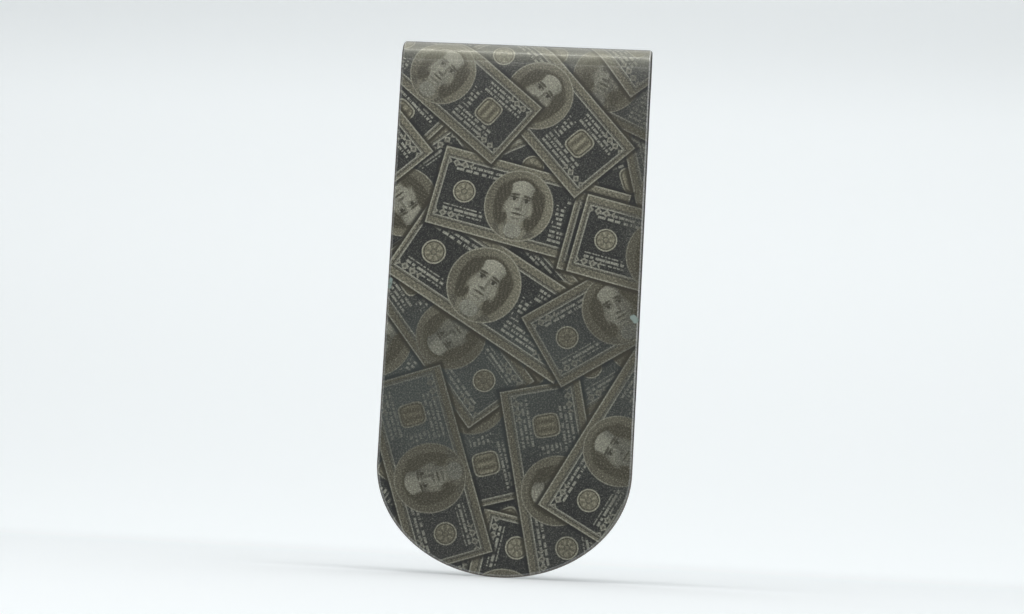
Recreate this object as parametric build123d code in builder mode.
"""A sprung money clip, bent from one strip of sheet steel.

The clip stands upright: X runs across it, Y from the front plate back to the rear leg, and
Z up to the bend. The origin is on the front plate's inner face, on the clip's centre line,
at the height where the rear leg grips. The strip is cut into the three pieces that the
motion needs: the flat front plate, the bend that is the spring, and the rear leg.
"""

import os
from math import cos, radians, sin

from build123d import *

# Driving dimensions, in millimetres and degrees.

clip_width = 25.4  # across the strip
clip_length = 54.0  # from the top of the bend to the tip of the front plate
rear_length = 46.4  # from the top of the bend to the tip of the rear leg
sheet = 0.9  # thickness of the steel
edge_radius = 0.3  # the tumbled round on every edge of the strip

tip_height = 10.8  # how far the half-oval end of each leg reaches past its straight sides

bend_inner_radius = 1.5  # inside of the bend
bend_closing = 35.0  # how far the bend turns past a half turn, towards the front plate
waist_radius = 3.0  # centre line of the curve that sets the leg parallel to the front plate

note_gap = 1.1  # between the legs, along the parallel run
grip_drop = 39.5  # from the top of the bend down to the grip line
grip_gap = 0.15  # clearance that the closed clip keeps at the grip line
grip_lean = 6.5  # slope of the leg as it comes in to the grip
grip_radius = 5.0  # centre line of the grip bow
bow_radius = 8.0  # centre line of the curve that starts the lean
lip_flare = 12.0  # slope of the lip, away from the front plate

# Places and lengths that follow from them.

half_sheet = sheet / 2
bend_radius = bend_inner_radius + half_sheet  # centre line of the bend
top_z = grip_drop
bend_z = top_z - bend_inner_radius - sheet  # height of the bend's centre
front_tip_z = top_z - clip_length
rear_tip_z = top_z - rear_length

closing = radians(bend_closing)
lean = radians(grip_lean)
flare = radians(lip_flare)

bend_back_y = bend_inner_radius + bend_radius  # centre line at the back of the bend
run_y = note_gap + half_sheet  # centre line of the parallel run
grip_y = grip_gap + half_sheet  # centre line at the grip

shoulder_shift = bend_back_y - run_y - (bend_radius + waist_radius) * (1 - cos(closing))
shoulder_length = shoulder_shift / sin(closing)

lean_shift = run_y - grip_y - (bow_radius + grip_radius) * (1 - cos(lean))
lean_length = lean_shift / sin(lean)
bow_start_z = (bow_radius + grip_radius) * sin(lean) + lean_length * cos(lean)

lip_start_z = -grip_radius * sin(flare)
lip_length = (lip_start_z - rear_tip_z) / cos(flare) + sheet  # runs past the outline that trims it

leg_depth = 2 * bend_back_y  # more than any depth that the rear leg reaches

os.makedirs("parts", exist_ok=True)


def leg_outline(tip_z):
    """Draw a leg seen from the front: straight sides from the bend down to a half-oval end."""
    oval_z = tip_z + tip_height
    with Locations((0, (bend_z + oval_z) / 2)):
        Rectangle(clip_width, bend_z - oval_z)
    with Locations((0, oval_z)):
        Ellipse(clip_width / 2, tip_height)


def strip_edges(piece, *seams):
    """Pick the edges between a piece's two skins and its cut sides, but not those at its seams."""
    faces = piece.faces()
    sides = faces.filter_by(Axis.X) + faces.filter_by(GeomType.EXTRUSION)
    ends = ShapeList(faces.sort_by_distance(seam)[0] for seam in seams)
    return sides.edges() & (faces - sides - ends).edges()


# The middles of the two seams, where the bend meets the plate and the leg.

plate_seam = Vector(0, -half_sheet, bend_z)
leg_seam = Vector(
    0,
    bend_inner_radius + bend_radius * cos(closing),
    bend_z - bend_radius * sin(closing),
)

# Front plate: flat, its inner face on the XZ plane.

with BuildPart() as front_plate:
    with BuildSketch(Plane.XZ):
        leg_outline(front_tip_z)
    extrude(amount=sheet)
    fillet(strip_edges(front_plate, plate_seam), edge_radius)

# Spring bend: over the top, and past a half turn so that the leg comes in again.

with BuildPart() as spring_bend:
    with BuildSketch(Plane.YZ):
        with BuildLine():
            CenterArc((bend_inner_radius, bend_z), bend_radius, 180, -180 - bend_closing)
        trace(line_width=sheet)
    extrude(amount=clip_width / 2, both=True)
    fillet(strip_edges(spring_bend, plate_seam, leg_seam), edge_radius)

# Rear leg: shoulder, waist, parallel run, lean, grip bow and lip, trimmed to its outline.

with BuildPart() as rear_leg:
    with BuildSketch(Plane.YZ):
        with BuildLine():
            shoulder = PolarLine((leg_seam.Y, leg_seam.Z), shoulder_length, -90 - bend_closing)
            waist = JernArc(shoulder @ 1, shoulder % 1, waist_radius, bend_closing)
            run = Line(waist @ 1, (run_y, bow_start_z))
            bow = JernArc(run @ 1, run % 1, bow_radius, -grip_lean)
            slope = PolarLine(bow @ 1, lean_length, -90 - grip_lean)
            grip = JernArc(slope @ 1, slope % 1, grip_radius, grip_lean + lip_flare)
            lip = PolarLine(grip @ 1, lip_length, -90 + lip_flare)
        trace(line_width=sheet)
    extrude(amount=clip_width / 2, both=True)
    with BuildSketch(Plane.XZ.offset(-leg_depth)):
        leg_outline(rear_tip_z)
    extrude(amount=2 * leg_depth, mode=Mode.INTERSECT)
    fillet(strip_edges(rear_leg, leg_seam), edge_radius)

for name, piece in {
    "front_plate": front_plate,
    "spring_bend": spring_bend,
    "rear_leg": rear_leg,
}.items():
    piece.part.label = name
    export_step(piece.part, f"parts/{name}.step")
